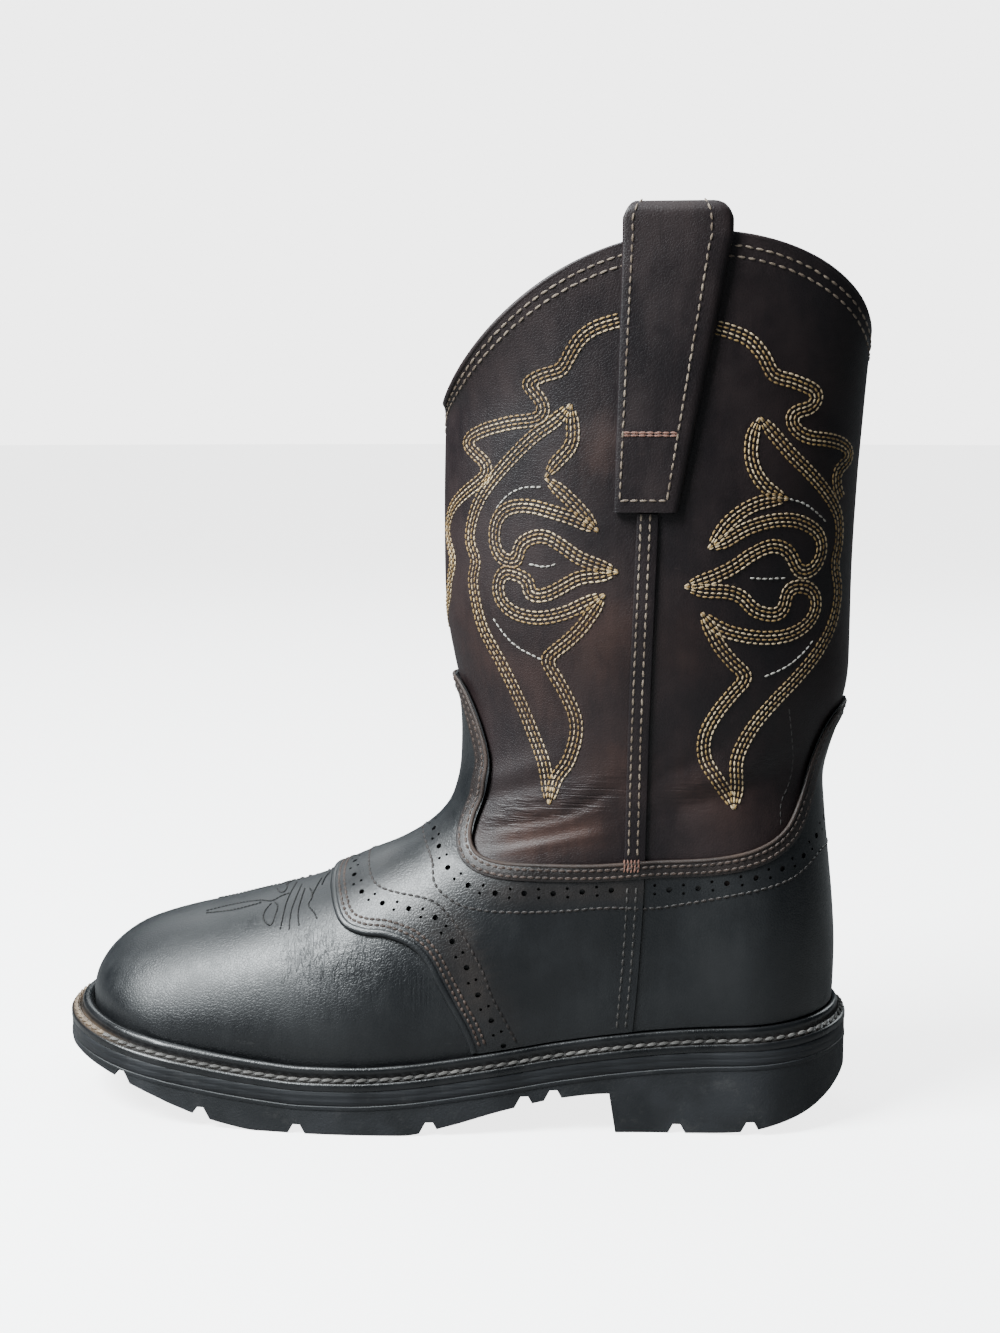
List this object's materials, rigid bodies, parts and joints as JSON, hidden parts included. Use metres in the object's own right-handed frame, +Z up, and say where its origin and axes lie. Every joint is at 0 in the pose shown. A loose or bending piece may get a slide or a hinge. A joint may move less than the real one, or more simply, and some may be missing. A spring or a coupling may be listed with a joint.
{
  "type": "western work boot",
  "caption": "Pull-on western work boot with a scalloped shaft, pull straps, saddle and heel overlays, stitched storm welt and lugged sole.",
  "frame": {"origin": "centre of the bounding box on the ground plane", "axes": "+Z up, toe towards -X, heel towards +X, outer side of the left foot towards -Y"},
  "size_m": [0.314, 0.1167, 0.344],
  "materials": {
    "shaft_leather": "oiled brown-black leather, soft sheen",
    "foot_leather": "smooth black leather, satin",
    "welt_rubber": "black, satin, light stitching on top",
    "sole_rubber": "charcoal moulded rubber, matt",
    "lining": "undyed leather, matt"
  },
  "bodies": {
    "root": {"upper": "shaft_leather", "saddle": "foot_leather", "counter": "foot_leather", "side_seam_outer": "shaft_leather", "side_seam_inner": "shaft_leather", "pull_strap_outer": "shaft_leather", "pull_strap_inner": "shaft_leather", "welt": "welt_rubber", "midsole": "sole_rubber", "outsole": "sole_rubber", "insole": "lining"}
  },
  "joints": []
}
